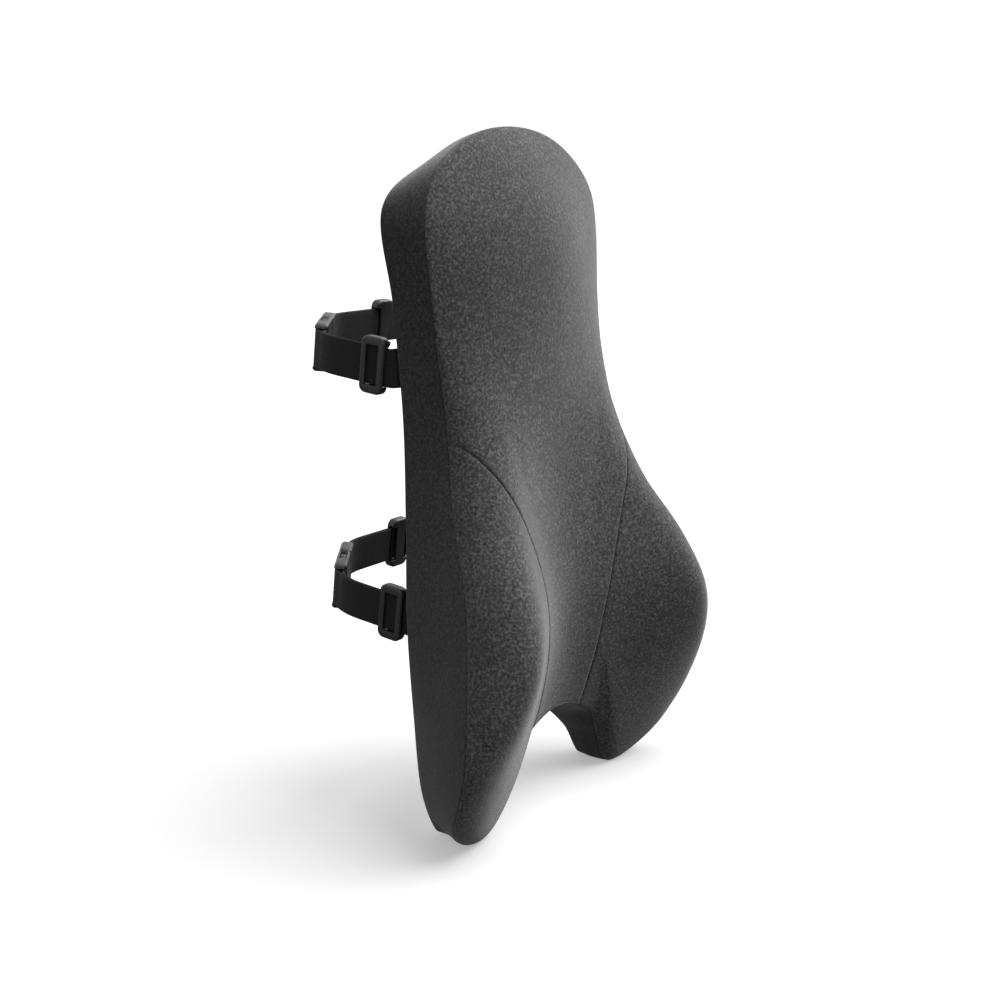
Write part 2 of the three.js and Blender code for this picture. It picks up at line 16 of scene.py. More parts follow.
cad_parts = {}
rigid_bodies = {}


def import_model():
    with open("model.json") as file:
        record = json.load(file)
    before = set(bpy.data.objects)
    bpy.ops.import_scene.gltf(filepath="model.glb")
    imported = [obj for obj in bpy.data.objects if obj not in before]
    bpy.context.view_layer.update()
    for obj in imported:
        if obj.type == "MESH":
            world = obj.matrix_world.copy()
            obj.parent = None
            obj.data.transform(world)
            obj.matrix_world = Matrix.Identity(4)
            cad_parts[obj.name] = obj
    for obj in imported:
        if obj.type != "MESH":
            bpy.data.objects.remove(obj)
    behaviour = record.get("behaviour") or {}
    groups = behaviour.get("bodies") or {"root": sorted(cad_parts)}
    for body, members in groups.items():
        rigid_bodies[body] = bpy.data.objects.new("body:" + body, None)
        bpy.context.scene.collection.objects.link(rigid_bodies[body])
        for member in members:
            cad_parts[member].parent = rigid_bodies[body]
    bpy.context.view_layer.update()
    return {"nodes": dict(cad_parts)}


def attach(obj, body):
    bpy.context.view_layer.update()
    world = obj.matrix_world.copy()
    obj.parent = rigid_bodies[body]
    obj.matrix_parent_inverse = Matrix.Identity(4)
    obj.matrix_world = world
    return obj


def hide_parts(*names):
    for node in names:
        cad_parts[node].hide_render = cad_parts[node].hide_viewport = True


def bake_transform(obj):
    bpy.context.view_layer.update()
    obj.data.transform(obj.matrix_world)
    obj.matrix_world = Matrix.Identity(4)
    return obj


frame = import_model()

MM = 0.001
BACK_FACE = np.array([0, -8.1, 0])   # shapes are drawn with y = 0 on the flat back face, which lies here

# ---- the body's shape, in millimetres ----

# Half outlines, from the middle of the top down and round into the notch. The shoulder, where the front
# starts to round over, has x, depth in front of the back face, and z. The rim of the back has x and z.
SHOULDER = [
    (0, 30, 460), (57, 30, 449), (96, 30, 414), (97, 30, 348), (92, 31, 275), (102, 39, 219),
    (120, 58, 164), (144, 68, 76), (128, 43, 20), (82, 29, 0), (60, 33, 31), (44, 38, 52), (0, 39, 67),
]
RIM = [
    (0, 454), (57, 438), (102, 411), (98, 351), (96, 280), (101, 212),
    (107, 150), (107, 88), (104, 33), (88, 1), (69, 27), (41, 50), (0, 65),
]
FRONT_Z = np.array([460, 402, 316, 230, 144, 58, 0], float)
FRONT_DEPTH = np.array([42, 55, 52, 50, 55, 41, 30], float)
FRONT_RISE = np.array([-12, -23, -16, 28, 54, 38, 30], float)
RISE_HALF_WIDTH = 115       # FRONT_RISE is reached this far from the middle
RISE_ROUNDNESS = 1.5
RISE_LIMIT = 1.35           # the rise is held beyond this share of RISE_HALF_WIDTH
MIDDLE_Z = 215              # rings of the skin shrink towards the middle at this height
ROUNDING_START = 0.6        # size of the ring at which the rounded edge ends
WING_SEAM = [(140, 276), (110, 271), (93, 264), (68, 220), (47, 174), (35, 128), (31, 82), (30, 40)]

AROUND = 336                # columns of the skin round the outline
CLOTH = 1.7                 # thickness of the padded knit
CLOTH_RISE = 1.0            # between its seams, the padded cloth stands this much above the drawn skin
CORE_INSET = 5.4            # the foam core lies this far inside the drawn skin
FLOOR_GAP = 0.1             # the legs are pressed flat where they stand
ROLL_WIDTH = 2.2            # a panel's edge rolls into its seam over this width
ROLL_DEPTH = 1.3            # of the seams beside the wings
FLAT_ROLL_DEPTH = 0.6       # of the flatter seams round the side panel
WING_SEAM_LEVELS = (0, 2.4, -2.4, 1.2, -1.2, 0.5, -0.5)   # distances from the seam where faces are cut
BACK_SEAM_LEVELS = (0, 0.6, 1.4, 2.8)
PUFF_LIMIT = 1.1            # the simulated cloth moves no further than this
PUFF_FRAMES = 20
SEAM_FADE = 14              # the cloth's unevenness fades out over this distance from a seam

ZIP_BOTTOM, ZIP_TOP = 92, 402
SLOT_HALF_WIDTH = 13

# ---- the strap loops ----

STRAP_HEIGHTS = {"upper": 312, "lower": 150}
LOOP_TILT = math.radians(10.5)
HINGE_Y = 7
WEB_WIDTH = 25
PLY = 1.3
PLY_GAP = 0.3
PARTING = 9                 # the two plies part this far before a bar
EDGE_RIPPLE = 0.0002        # how much the webbing's width varies, as a fraction
SEWN_GAP = 0.3              # between the back face and the sewn webbing
STRAP_X = 96
LOOP_BACK_Y = 112
BUCKLE_ANGLE = math.radians(35)
BUCKLE_BAR = np.array([-84.0, 76.0])
BAR_SPACING = 50
BAR_RADIUS = 2.2
BAR_CLEARANCE = 0.4
LEFT_GLIDE_Y = 20
RIGHT_GLIDE_X = 24
FREE_Y = HINGE_Y + 6        # the webbing is free of its bend from here on
SPLIT_Y = 58                # the right strap's two pieces meet here
ALONG_BUCKLE = np.array([math.cos(BUCKLE_ANGLE), math.sin(BUCKLE_ANGLE)])
PLUG_BAR = BUCKLE_BAR + ALONG_BUCKLE * BAR_SPACING

# The stretches of a section, from the middle of the back out over the rim and in to the middle of the front.
BACK, SIDE, ROUNDING, CROWN = range(4)


# ---- mesh helpers ----

def mesh_object(name, points, faces, material, uv=None):
    """An object from points in millimetres. uv holds one (u, v) in metres for each point."""
    mesh = bpy.data.meshes.new(name)
    placed = (np.asarray(points) + BACK_FACE) * MM
    mesh.from_pydata([tuple(p) for p in placed], [], [tuple(f) for f in faces])
    if uv is not None:
        layer = mesh.uv_layers.new(name="UVMap")
        for loop in mesh.loops:
            layer.data[loop.index].uv = uv[loop.vertex_index]
    mesh.polygons.foreach_set("use_smooth", [True] * len(mesh.polygons))
    mesh.update()
    mesh.materials.append(material)
    made = bpy.data.objects.new(name, mesh)
    bpy.context.scene.collection.objects.link(made)
    return made


def frame_point(x, y, z):
    """A drawn point in millimetres as a point of the part's frame in metres."""
    return tuple((np.array([x, y, z], float) + BACK_FACE) * MM)


def grid_faces(rows, columns, closed):
    """Quads of a grid of points laid out row by row. closed joins the last column to the first."""
    faces = []
    for i in range(rows - 1):
        for j in range(columns if closed else columns - 1):
            k = (j + 1) % columns
            faces.append((i * columns + j, i * columns + k, (i + 1) * columns + k, (i + 1) * columns + j))
    return faces


def tube_faces(rows, sides):
    """Faces of a tube of rows of points, closed round and capped at both ends."""
    last = (rows - 1) * sides
    caps = [tuple(reversed(range(sides))), tuple(last + k for k in range(sides))]
    return grid_faces(rows, sides, closed=True) + caps


def tree_of(points):
    """A tree that finds the nearest of points."""
    tree = KDTree(len(points))
    for i, p in enumerate(points):
        tree.insert(p, i)
    tree.balance()
    return tree


def vertex_normals(points, faces):
    """Area-weighted normals of a mesh of triangles, quads and larger faces."""
    normals = np.zeros_like(points)
    for size in {len(face) for face in faces}:
        group = np.array([face for face in faces if len(face) == size])
        corners = points[group]
        area = np.cross(corners, np.roll(corners, -1, axis=1)).sum(axis=1)
        for corner in range(size):
            np.add.at(normals, group[:, corner], area)
    length = np.linalg.norm(normals, axis=1, keepdims=True)
    return normals / np.maximum(length, 1e-12)


def border_edges(faces):
    """Directed edges that belong to one face only."""
    edges = {}
    for face in faces:
        for a, b in zip(face, face[1:] + face[:1]):
            edges[(a, b)] = True
    return [edge for edge in edges if (edge[1], edge[0]) not in edges]


def shell(points, faces, thickness):
    """A closed solid: the skin, a copy moved in by the thickness, and walls round the open edges."""
    count = len(points)
    inner = points - vertex_normals(points, faces) * thickness
    solid = list(faces) + [tuple(index + count for index in reversed(face)) for face in faces]
    for a, b in border_edges(faces):
        solid.append((b, a, a + count, b + count))
    return np.vstack([points, inner]), solid


# ---- the body's surface ----

def closed_outline(half):
    """Half an outline and its mirror image."""
    other_side = [(-p[0],) + tuple(p[1:]) for p in half[-2:0:-1]]
    return np.array(list(half) + other_side, float)


def curve_point(before, a, b, after, t):
    """A point of the Catmull-Rom curve from a to b, where t goes from 0 to 1."""
    linear = b - before
    square = 2 * before - 5 * a + 4 * b - after
    cube = 3 * a - before - 3 * b + after
    return 0.5 * (2 * a + linear * t + square * t**2 + cube * t**3)


def outline_point(points, u):
    """Points of the closed curve through points. u is in turns."""
    count = len(points)
    place = (np.asarray(u, float) % 1.0) * count
    start = np.floor(place).astype(int)
    before, a, b, after = (points[(start + k) % count] for k in (-1, 0, 1, 2))
    return curve_point(before, a, b, after, (place - start)[:, None])


shoulder_line = closed_outline(SHOULDER)
rim_line = closed_outline([(x, 0, z) for x, z in RIM])


def inward(line, u, inset):
    """Points of an outline, moved in towards the middle of the body."""
    step = 1e-4
    along = outline_point(line, u + step) - outline_point(line, u - step)
    along[:, 1] = 0
    along /= np.linalg.norm(along, axis=1, keepdims=True)
    across = np.stack([along[:, 2], np.zeros(len(u)), -along[:, 0]], axis=1)
    return outline_point(line, u) + across * inset


def front_value(values, z):
    """A smooth curve through the front's stations."""
    slopes = np.zeros(len(values))
    slopes[0] = (values[1] - values[0]) / (FRONT_Z[1] - FRONT_Z[0])
    slopes[-1] = (values[-1] - values[-2]) / (FRONT_Z[-1] - FRONT_Z[-2])
    for k in range(1, len(values) - 1):
        slopes[k] = (values[k - 1] - values[k + 1]) / (FRONT_Z[k - 1] - FRONT_Z[k + 1])
    i = np.clip(np.sum(FRONT_Z[None, :] > z[:, None], axis=1), 1, len(values) - 1)
    step = FRONT_Z[i] - FRONT_Z[i - 1]
    t = np.clip((z - FRONT_Z[i - 1]) / step, 0, 1)
    return ((2 * t**3 - 3 * t**2 + 1) * values[i - 1] + (t**3 - 2 * t**2 + t) * step * slopes[i - 1]
            + (3 * t**2 - 2 * t**3) * values[i] + (t**3 - t**2) * step * slopes[i])


def front_depth(x, z):
    """How far the front's skin lies in front of the back face."""
    s2 = np.minimum(np.abs(x) / RISE_HALF_WIDTH, RISE_LIMIT) ** 2
    rise = front_value(FRONT_RISE, z) * s2 * (RISE_ROUNDNESS - (RISE_ROUNDNESS - 1) * s2)
    return front_value(FRONT_DEPTH, z) + rise


def body_row(u, stretch, t, inset=0.0):
    """One ring of the body's surface, the same way round the outline as u."""
    rim = inward(rim_line, u, inset)
    shoulder = inward(shoulder_line, u, inset)
    if stretch == BACK:
        z = MIDDLE_Z + (rim[:, 2] - MIDDLE_Z) * t
        return np.stack([rim[:, 0] * t, np.full(len(u), -inset), z], axis=1)
    if stretch == SIDE:
        x = rim[:, 0] + (shoulder[:, 0] - rim[:, 0]) * t
        z = rim[:, 2] + (shoulder[:, 2] - rim[:, 2]) * t
        return np.stack([x, -np.maximum(shoulder[:, 1] * t, inset), z], axis=1)
    angle = t * math.pi / 2 if stretch == ROUNDING else math.pi / 2
    if stretch == ROUNDING:
        scale = ROUNDING_START + (1 - ROUNDING_START) * math.cos(angle)
    else:
        scale = ROUNDING_START * (1 - t)
    x = shoulder[:, 0] * scale
    z = MIDDLE_Z + (shoulder[:, 2] - MIDDLE_Z) * scale
    rise = front_depth(x, z) - inset - shoulder[:, 1]
    return np.stack([x, -(shoulder[:, 1] + rise * math.sin(angle)), z], axis=1)


def skin(rows, inset=0.0, columns=AROUND):
    """Points and faces of the skin through the given (stretch, t) rows, facing out."""
    u = np.arange(columns) / columns
    points = np.vstack([body_row(u, stretch, t, inset) for stretch, t in rows])
    faces = [tuple(reversed(face)) for face in grid_faces(len(rows), columns, closed=True)]
    return points, faces


def with_pole(points, faces, columns, pole, first):
    """Closes the first or last row with a fan to one point."""
    start = 0 if first else len(points) - columns
    index = len(points)
    fan = []
    for j in range(columns):
        a, b = start + j, start + (j + 1) % columns
        fan.append((a, b, index) if first else (index, b, a))
    return np.vstack([points, pole]), faces + fan


def eased(edge, middle):
    """Values from 0 to 1 that start close together, with even steps after."""
    return list(edge) + list(np.linspace(edge[-1], 1, middle + 1)[1:])


EDGE_STEPS = (0, 0.012, 0.028, 0.05, 0.08)
FRONT_ROWS = [(ROUNDING, t) for t in eased(EDGE_STEPS, 20)]
FRONT_ROWS += [(CROWN, t) for t in np.linspace(0, 1, 15)[1:-1]]
SIDE_ROWS = [(SIDE, t) for t in (0, 0.012, 0.028, 0.05, 0.09, 0.15, 0.25, 0.35, 0.45, 0.55, 0.65, 0.75,
                                 0.85, 0.91, 0.95, 0.972, 0.988, 1)]
BACK_ROWS = [(BACK, t) for t in (0.08, 0.2, 0.35, 0.5, 0.62, 0.72, 0.8, 0.86, 0.91, 0.945, 0.965, 0.98,
                                 0.988, 0.994, 1)]
FRONT_POLE = np.array([[0.0, -float(front_value(FRONT_DEPTH, np.array([MIDDLE_Z]))[0]), MIDDLE_Z]])
BACK_POLE = np.array([[0.0, 0.0, MIDDLE_Z]])


# ---- distances to seams ----

def seam_points(steps=40):
    """The wing seam on one side, x and z, carried on past both ends."""
    points = np.array(WING_SEAM, float)
    padded = np.vstack([points[0], points, points[-1]])
    curve = []
    for i in range(len(points) - 1):
        curve += [curve_point(*padded[i:i + 4], t) for t in np.arange(steps) / steps]
    curve.append(points[-1])
    return np.vstack([[220, points[0][1]], curve, [points[-1][0], -60]])


WING_LINE = seam_points()


def wing_field(points):
    """Distance to the wing seam seen from the front, positive on the wings."""
    x, z = np.abs(points[:, 0]), points[:, 2]
    best = np.full(len(points), 1e9)
    crossings = np.zeros(len(points), int)
    for a, b in zip(WING_LINE[:-1], WING_LINE[1:]):
        along = b - a
        t = np.clip(((x - a[0]) * along[0] + (z - a[1]) * along[1]) / (along @ along), 0, 1)
        best = np.minimum(best, np.hypot(x - a[0] - t * along[0], z - a[1] - t * along[1]))
        spans = (a[1] > z) != (b[1] > z)
        if a[1] != b[1]:
            crossings += spans & (x > a[0] + (z - a[1]) / (b[1] - a[1]) * along[0])
    inside = (crossings % 2 == 1) & (z < WING_SEAM[0][1])
    return np.where(inside, best, -best)


def cut_along(mesh, field, fixed):
    """Cuts faces where field changes sign. Corners close to the line slide onto it, except those in fixed."""
    values = dict(zip(mesh.verts, field(np.array([v.co for v in mesh.verts]))))
    near = 0.3   # share of an edge
    for edge in mesh.edges:
        a, b = edge.verts
        if values[a] * values[b] < 0:
            t = values[a] / (values[a] - values[b])
            if t < near and a not in fixed:
                a.co = a.co.lerp(b.co, t)
                values[a] = 0.0
            elif t > 1 - near and b not in fixed:
                b.co = a.co.lerp(b.co, t)
                values[b] = 0.0
    for edge in list(mesh.edges):
        a, b = edge.verts
        if values[a] * values[b] < 0:
            _, new = bmesh.utils.edge_split(edge, a, values[a] / (values[a] - values[b]))
            values[new] = 0.0
    for face in list(mesh.faces):
        on_line = [v for v in face.verts if values[v] == 0.0]
        others = [values[v] for v in face.verts if values[v] != 0.0]
        if len(on_line) == 2 and others and min(others) < 0 < max(others):
            bmesh.utils.face_split(face, on_line[0], on_line[1])
    fixed.update(v for v in mesh.verts if values[v] == 0.0)


# ---- the cloth ----

def surface_noise(points, size, seed):
    """Slow, even variation over the surface, one value for each point."""
    return np.array([noise.noise(Vector(p) / size + Vector((seed, 0, 0))) for p in points])


def even_cover():
    """The closed cover as an object of even squares, and its points in millimetres."""
    columns = AROUND // 2
    points, faces = skin(BACK_ROWS + SIDE_ROWS[1:-1:2] + FRONT_ROWS[::2], 0, columns)
    points, faces = with_pole(points, faces, columns, FRONT_POLE, False)
    points, faces = with_pole(points, faces, columns, BACK_POLE, True)
    body = mesh_object("cloth_rest", points, faces, bpy.data.materials.new("cloth_rest"))
    remesh = body.modifiers.new("even", "REMESH")
    remesh.mode = "VOXEL"
    remesh.voxel_size = 5.0 * MM
    even = bpy.data.meshes.new_from_object(body.evaluated_get(bpy.context.evaluated_depsgraph_get()))
    bpy.data.objects.remove(body)
    cover = bpy.data.objects.new("cloth_even", even)
    bpy.context.scene.collection.objects.link(cover)
    return cover, np.array([v.co for v in even.vertices]) / MM - BACK_FACE


def hold_weights(points):
    """How firmly each point is held: fully at the seams and on the back, hardly in the middle of a panel."""
    around = np.arange(1200) / 1200
    edges = tree_of(np.vstack([body_row(around, SIDE, 1), body_row(around, SIDE, 0)]))
    edge_distance = np.array([edges.find(p)[2] for p in points])
    seam_distance = np.abs(wing_field(points))
    behind_seams = points[:, 1] > -20
    seam_distance[behind_seams] = 1e3
    distance = np.minimum(edge_distance, seam_distance)
    weights = 1 - 0.95 * np.clip((distance - 4) / 26, 0, 1)
    on_back = points[:, 1] > -2
    weights[on_back] = 1
    return weights


def press_out(cover, weights):
    """Runs the cloth simulation with pressure from inside, and returns where the points end, in metres."""
    group = cover.vertex_groups.new(name="held")
    for i, weight in enumerate(weights):
        group.add([i], float(weight), "REPLACE")
    cloth = cover.modifiers.new("cloth", "CLOTH")
    cloth.settings.quality = 5
    cloth.settings.mass = 0.3
    cloth.settings.tension_stiffness = 12
    cloth.settings.compression_stiffness = 12
    cloth.settings.shear_stiffness = 6
    cloth.settings.bending_stiffness = 0.6
    cloth.settings.vertex_group_mass = "held"
    cloth.settings.use_pressure = True
    cloth.settings.uniform_pressure_force = 4
    cloth.settings.effector_weights.gravity = 0
    cloth.collision_settings.use_collision = False
    cloth.point_cache.frame_start = 1
    cloth.point_cache.frame_end = PUFF_FRAMES
    for number in range(1, PUFF_FRAMES + 1):
        bpy.context.scene.frame_set(number)
    settled = cover.evaluated_get(bpy.context.evaluated_depsgraph_get()).to_mesh()
    return np.array([v.co for v in settled.vertices])


def puff_samples():
    """Where the closed cover is, and how it moves when the foam presses it out. The seams are held."""
    cover, rest = even_cover()
    moved = press_out(cover, hold_weights(rest)) / MM - BACK_FACE - rest
    bpy.data.objects.remove(cover)
    bpy.context.scene.frame_set(1)
    length = np.linalg.norm(moved, axis=1, keepdims=True)
    return rest, moved * PUFF_LIMIT / np.maximum(length + PUFF_LIMIT, 1e-9)


def make_puff():
    """A function that gives how far each surface point moves."""
    rest, moved = puff_samples()
    tree = tree_of(rest)

    def puff(points):
        out = np.zeros_like(points)
        for i, p in enumerate(points):
            found = tree.find_n(p, 24)
            away = np.array([distance for _, _, distance in found])
            weights = ((1 - away / away[-1]) / (away + 4.0)) ** 2   # fades out at the farthest one
            out[i] = weights @ moved[[index for _, index, _ in found]] / weights.sum()
        return out

    return puff


# ---- materials ----

def material(name, roughness, **inputs):
    """A new material, with its tree and its shader node."""
    made = bpy.data.materials.new(name)
    made.use_nodes = True
    shader = made.node_tree.nodes["Principled BSDF"]
    shader.inputs["Roughness"].default_value = roughness
    for key, value in inputs.items():
        shader.inputs[key.replace("_", " ")].default_value = value
    return made, made.node_tree, shader


def add_node(tree, kind, **values):
    """A node, with its own settings or its inputs set by name."""
    made = tree.nodes.new(kind)
    for key, value in values.items():
        if hasattr(made, key):
            setattr(made, key, value)
        else:
            made.inputs[key.replace("_", " ")].default_value = value
    return made


def math_node(tree, operation, a, b):
    made = tree.nodes.new("ShaderNodeMath")
    made.operation = operation
    for socket, value in zip(made.inputs, (a, b)):
        if isinstance(value, (int, float)):
            socket.default_value = value
        else:
            tree.links.new(value, socket)
    return made.outputs[0]


def ramp(tree, factor, *stops):
    """Colours between stops, each a place and a colour."""
    made = tree.nodes.new("ShaderNodeValToRGB")
    elements = made.color_ramp.elements
    while len(elements) < len(stops):
        elements.new(0.5)
    for element, (place, color) in zip(elements, stops):
        element.position = place
        element.color = (*color, 1)
    tree.links.new(factor, made.inputs[0])
    return made.outputs[0]


def coordinates(tree, kind="Object"):
    return tree.nodes.new("ShaderNodeTexCoord").outputs[kind]


def grey(value):
    return (value, value, value)


def noise_value(tree, vector, scale, detail=2.0, roughness=0.5):
    made = add_node(tree, "ShaderNodeTexNoise", Scale=scale, Detail=detail, Roughness=roughness)
    tree.links.new(vector, made.inputs["Vector"])
    return made.outputs[0]


def bump(tree, shader, height, distance, strength=1.0):
    made = add_node(tree, "ShaderNodeBump", Strength=strength, Distance=distance)
    tree.links.new(height, made.inputs["Height"])
    tree.links.new(made.outputs[0], shader.inputs["Normal"])


def sine_of(tree, value, period, phase=0.0):
    """A wave from -1 to 1 along a coordinate in metres."""
    turned = math_node(tree, "MULTIPLY_ADD", value, 2 * math.pi / period)
    turned.node.inputs[2].default_value = phase
    return math_node(tree, "SINE", turned, 0.0)


def knit_material(name, dark, light, speckle, loops):
    """Melange knit: light and dark fibres mixed in each loop, and rows of small loops."""
    made, tree, shader = material(name, 0.95, Specular_IOR_Level=0.15, Sheen_Weight=0.45,
                                  Sheen_Roughness=0.45)
    place = coordinates(tree)
    split = tree.nodes.new("ShaderNodeSeparateXYZ")
    tree.links.new(place, split.inputs[0])
    fibres = noise_value(tree, place, 600, detail=2, roughness=0.5)
    slubs = noise_value(tree, place, 430, detail=2)
    slow = noise_value(tree, place, 14, detail=2)
    mix = math_node(tree, "ADD", math_node(tree, "MULTIPLY", fibres, 0.72),
                    math_node(tree, "MULTIPLY", slubs, 0.28))
    drift = math_node(tree, "MULTIPLY", math_node(tree, "SUBTRACT", slow, 0.5), 0.12)
    mix = math_node(tree, "ADD", mix, drift)
    color = ramp(tree, mix, (0.5 - speckle, grey(dark)), (0.5, grey((dark * light) ** 0.5)),
                 (0.5 + speckle, grey(light)))
    tree.links.new(color, shader.inputs["Base Color"])
    pitch_across, pitch_up = 1.5 * MM, 1.1 * MM
    columns = sine_of(tree, math_node(tree, "ADD", split.outputs["X"], split.outputs["Y"]), pitch_across)
    rows = sine_of(tree, split.outputs["Z"], pitch_up)
    weave = math_node(tree, "MULTIPLY", math_node(tree, "MULTIPLY", columns, rows), 0.35)
    height = math_node(tree, "ADD", weave, fibres)
    bump(tree, shader, height, loops, 0.7)
    return made


def webbing_material(name, color_value, rib=1.3 * MM):
    """Woven band: fine ribs with a twill over them. Uses the band's own coordinates."""
    made, tree, shader = material(name, 0.82, Specular_IOR_Level=0.25, Sheen_Weight=0.15,
                                  Sheen_Roughness=0.4)
    place = coordinates(tree, "UV")
    split = tree.nodes.new("ShaderNodeSeparateXYZ")
    tree.links.new(place, split.inputs[0])
    along, across = split.outputs["X"], split.outputs["Y"]
    ribs = sine_of(tree, along, rib)
    warp = sine_of(tree, across, 1.0 * MM)
    twill = sine_of(tree, math_node(tree, "ADD", along, across), 2.2 * MM)
    plain = math_node(tree, "MULTIPLY", ribs, warp)
    weave = math_node(tree, "ADD", plain, math_node(tree, "MULTIPLY", twill, 0.5))
    fibres = noise_value(tree, place, 900, detail=3, roughness=0.7)
    tone = math_node(tree, "ADD", math_node(tree, "MULTIPLY", weave, 0.16), fibres)
    color = ramp(tree, tone, (0.25, grey(color_value * 0.5)), (0.8, grey(color_value * 1.9)))
    tree.links.new(color, shader.inputs["Base Color"])
    bump(tree, shader, math_node(tree, "ADD", weave, fibres), 0.12 * MM, 0.8)
    return made


def plastic_material(name):
    """Satin moulded plastic with a fine spark-eroded grain."""
    made, tree, shader = material(name, 0.42, Specular_IOR_Level=0.5)
    place = coordinates(tree)
    grain = noise_value(tree, place, 2600, detail=2)
    slow = noise_value(tree, place, 90, detail=2)
    tree.links.new(ramp(tree, slow, (0.3, grey(0.016)), (0.7, grey(0.024))), shader.inputs["Base Color"])
    tree.links.new(ramp(tree, grain, (0.3, grey(0.36)), (0.7, grey(0.5))), shader.inputs["Roughness"])
    bump(tree, shader, grain, 0.02 * MM, 0.6)
    return made


def metal_material(name):
    """Zinc casting with worn black lacquer."""
    made, tree, shader = material(name, 0.35, Metallic=0.85)
    place = coordinates(tree)
    wear = noise_value(tree, place, 500, detail=4, roughness=0.65)
    tree.links.new(ramp(tree, wear, (0.35, grey(0.03)), (0.75, grey(0.09))), shader.inputs["Base Color"])
    tree.links.new(ramp(tree, wear, (0.3, grey(0.28)), (0.7, grey(0.5))), shader.inputs["Roughness"])
    bump(tree, shader, wear, 0.02 * MM, 0.4)
    return made


def coil_material(name):
    """Black nylon thread of the zip."""
    made, tree, shader = material(name, 0.5, Specular_IOR_Level=0.5)
    place = coordinates(tree)
    tone = noise_value(tree, place, 1500, detail=2)
    tree.links.new(ramp(tree, tone, (0.3, grey(0.012)), (0.7, grey(0.03))), shader.inputs["Base Color"])
    bump(tree, shader, tone, 0.02 * MM, 0.4)
    return made


def foam_material(name):
    """Cream moulded foam with open cells."""
    made, tree, shader = material(name, 0.9, Specular_IOR_Level=0.2)
    place = coordinates(tree)
    cells = add_node(tree, "ShaderNodeTexVoronoi", Scale=700.0)
    tree.links.new(place, cells.inputs["Vector"])
    slow = noise_value(tree, place, 20, detail=3)
    tone = math_node(tree, "MULTIPLY_ADD", cells.outputs["Distance"], 0.5)
    tree.links.new(slow, tone.node.inputs[2])
    color = ramp(tree, tone, (0.35, (0.62, 0.55, 0.41)), (0.9, (0.76, 0.7, 0.56)))
    tree.links.new(color, shader.inputs["Base Color"])
    bump(tree, shader, cells.outputs["Distance"], 0.3 * MM, 0.8)
    return made


KNIT = knit_material("knit", 0.035, 0.165, speckle=0.16, loops=0.2 * MM)
GUSSET = knit_material("gusset_knit", 0.03, 0.088, speckle=0.16, loops=0.16 * MM)
WEBBING = webbing_material("webbing", 0.012)
TAPE = webbing_material("zip_tape", 0.012, rib=0.9 * MM)
THREAD = webbing_material("thread", 0.02, rib=0.5 * MM)
PLASTIC = plastic_material("buckle_plastic")
METAL = metal_material("zip_metal")
COIL = coil_material("zip_coil")
FOAM = foam_material("foam")


# ---- the padded cover ----

def nearest_border(points, faces):
    """Close samples of the open edges, and each point's nearest sample and its distance."""
    samples = []
    for a, b in border_edges(faces):
        steps = max(2, int(np.linalg.norm(points[b] - points[a]) / 0.4))
        samples += [points[a] + (points[b] - points[a]) * k / steps for k in range(steps)]
    tree = tree_of(samples)
    found = [tree.find(p) for p in points]
    indices = [index for _, index, _ in found]
    return np.array(samples), indices, np.array([distance for _, _, distance in found])


def rolled(points, faces):
    """The panel with its edges rolled down into the seams."""
    samples, indices, distances = nearest_border(points, faces)
    on_wing_seam = np.abs(wing_field(samples)) < 0.3
    depth = np.where(on_wing_seam, ROLL_DEPTH, FLAT_ROLL_DEPTH)[indices]
    turn = 1 - np.clip(distances / ROLL_WIDTH, 0, 1)
    drop = depth * (1 - np.sqrt(1 - turn**2))
    return points - vertex_normals(points, faces) * drop[:, None]


def cover_panel(name, points, faces, material_used, slot, *nodes):
    """One panel of the cover, made of some faces of the skin."""
    used = sorted({index for face in faces for index in face})
    renumber = {old: new for new, old in enumerate(used)}
    faces = [tuple(renumber[index] for index in face) for face in faces]
    points = rolled(np.array([points[index] for index in used]), faces)
    solid_points, solid_faces = shell(points, faces, CLOTH)
    solid_points[:, 2] = np.maximum(solid_points[:, 2], FLOOR_GAP)
    panel = mesh_object(name, solid_points, solid_faces, material_used)
    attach(panel, "cushion")
    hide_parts(*nodes)


def to_bmesh(points, faces):
    mesh = bmesh.new()
    verts = [mesh.verts.new(p) for p in points]
    for face in faces:
        mesh.faces.new([verts[index] for index in face])
    return mesh


def from_bmesh(mesh):
    mesh.verts.index_update()
    points = np.array([v.co for v in mesh.verts])
    faces = [tuple(v.index for v in face.verts) for face in mesh.faces]
    centres = np.array([points[list(face)].mean(axis=0) for face in faces])
    mesh.free()
    return points, faces, centres


def undulate(points, faces):
    """Padded cloth over foam is never quite even."""
    slow = surface_noise(points, 62, 3.0) * 0.6 + surface_noise(points, 24, 9.0) * 0.2
    _, _, distances = nearest_border(points, faces)
    free = np.clip(distances / SEAM_FADE, 0, 1)
    return points + vertex_normals(points, faces) * ((slow + CLOTH_RISE) * free)[:, None]


